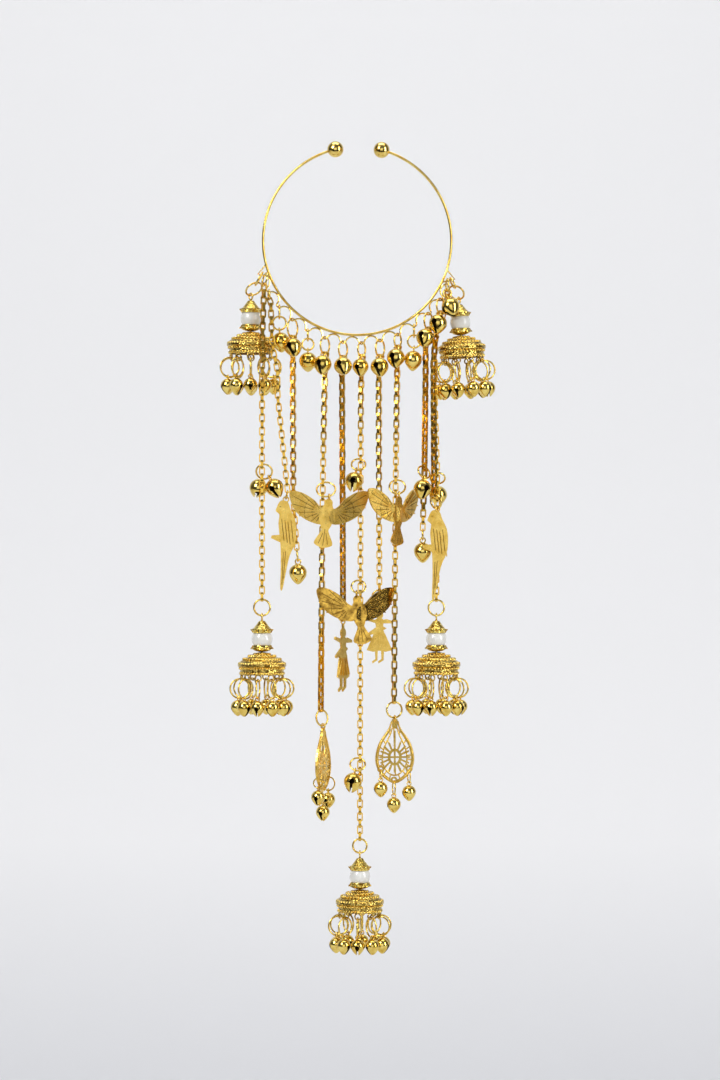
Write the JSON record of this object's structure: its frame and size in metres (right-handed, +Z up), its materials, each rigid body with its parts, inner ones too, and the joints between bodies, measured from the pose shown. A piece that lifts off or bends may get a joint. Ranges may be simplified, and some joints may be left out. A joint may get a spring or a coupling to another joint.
{
  "type": "kalire bridal ornament",
  "caption": "Open bangle hoop with a scalloped wire, hung with bells, link chains, stamped doves, parrots, dancers, pierced leaves and domed jhumkas with pearls.",
  "frame": {"origin": "centre of the hoop, where it hangs from the wearer's wrist", "axes": "+Z up, towards the hoop's opening; -Y towards the viewer; +X to the viewer's right; the hoop lies in the XZ plane"},
  "size_m": [0.0943, 0.0343, 0.2752],
  "materials": {
    "hoop_gold": "polished gold plating",
    "ring_gold": "polished gold plating",
    "chain_gold": "polished gold plating",
    "bell_gold": "bright polished gold plating",
    "charm_gold": "satin gold plating",
    "jhumka_gold": "bright gold plating over granulated work",
    "pearl": "pearlescent coating"
  },
  "bodies": {
    "hoop_and_chains": {"bangle_hoop": "hoop_gold", "rim_rings": "ring_gold", "rim_bells": "bell_gold", "jump_rings": "ring_gold", "chain_bells": "bell_gold", "chain_01": "chain_gold", "chain_02": "chain_gold", "chain_03": "chain_gold", "chain_04": "chain_gold", "chain_05": "chain_gold", "chain_06": "chain_gold", "chain_07": "chain_gold", "chain_08": "chain_gold", "chain_09": "chain_gold", "chain_10": "chain_gold", "chain_11": "chain_gold", "dove_left": "charm_gold", "dove_right": "charm_gold", "dove_lower": "charm_gold", "parrot_left": "charm_gold", "parrot_right": "charm_gold", "dancer_left": "charm_gold", "dancer_right": "charm_gold", "leaf_left": "charm_gold", "leaf_right": "charm_gold", "leaf_left_bells": "bell_gold", "leaf_right_bells": "bell_gold"},
    "jhumka_upper_left": {"jhumka_1_pin": "jhumka_gold", "jhumka_1_upper_cap": "jhumka_gold", "jhumka_1_pearl": "pearl", "jhumka_1_lower_cap": "jhumka_gold", "jhumka_1_dome": "jhumka_gold", "jhumka_1_bells": "bell_gold"},
    "jhumka_upper_right": {"jhumka_2_pin": "jhumka_gold", "jhumka_2_upper_cap": "jhumka_gold", "jhumka_2_pearl": "pearl", "jhumka_2_lower_cap": "jhumka_gold", "jhumka_2_dome": "jhumka_gold", "jhumka_2_bells": "bell_gold"},
    "jhumka_lower_left": {"jhumka_3_pin": "jhumka_gold", "jhumka_3_upper_cap": "jhumka_gold", "jhumka_3_pearl": "pearl", "jhumka_3_lower_cap": "jhumka_gold", "jhumka_3_dome": "jhumka_gold", "jhumka_3_bells": "bell_gold"},
    "jhumka_lower_right": {"jhumka_4_pin": "jhumka_gold", "jhumka_4_upper_cap": "jhumka_gold", "jhumka_4_pearl": "pearl", "jhumka_4_lower_cap": "jhumka_gold", "jhumka_4_dome": "jhumka_gold", "jhumka_4_bells": "bell_gold"},
    "jhumka_bottom": {"jhumka_5_pin": "jhumka_gold", "jhumka_5_upper_cap": "jhumka_gold", "jhumka_5_pearl": "pearl", "jhumka_5_lower_cap": "jhumka_gold", "jhumka_5_dome": "jhumka_gold", "jhumka_5_bells": "bell_gold"}
  },
  "joints": [
    {"name": "swing_upper_left", "type": "hinge", "parent": "hoop_and_chains", "child": "jhumka_upper_left", "pos_m": [-0.03635, 0.00585, -0.01813], "axis": [0.809, 0.5878, 0], "range_deg": [0, 50]},
    {"name": "swing_upper_right", "type": "hinge", "parent": "hoop_and_chains", "child": "jhumka_upper_right", "pos_m": [0.03465, 0.00418, -0.01957], "axis": [0.8829, -0.4695, 0], "range_deg": [0, 50]},
    {"name": "swing_lower_left", "type": "hinge", "parent": "hoop_and_chains", "child": "jhumka_lower_left", "pos_m": [-0.03219, -0.00628, -0.12725], "axis": [1, 0, 0], "range_deg": [-60, 60]},
    {"name": "swing_lower_right", "type": "hinge", "parent": "hoop_and_chains", "child": "jhumka_lower_right", "pos_m": [0.02691, 0.0004, -0.12739], "axis": [1, 0, 0], "range_deg": [-60, 60]},
    {"name": "swing_bottom", "type": "hinge", "parent": "hoop_and_chains", "child": "jhumka_bottom", "pos_m": [0.00089, 0, -0.20807], "axis": [1, 0, 0], "range_deg": [-60, 60]}
  ]
}
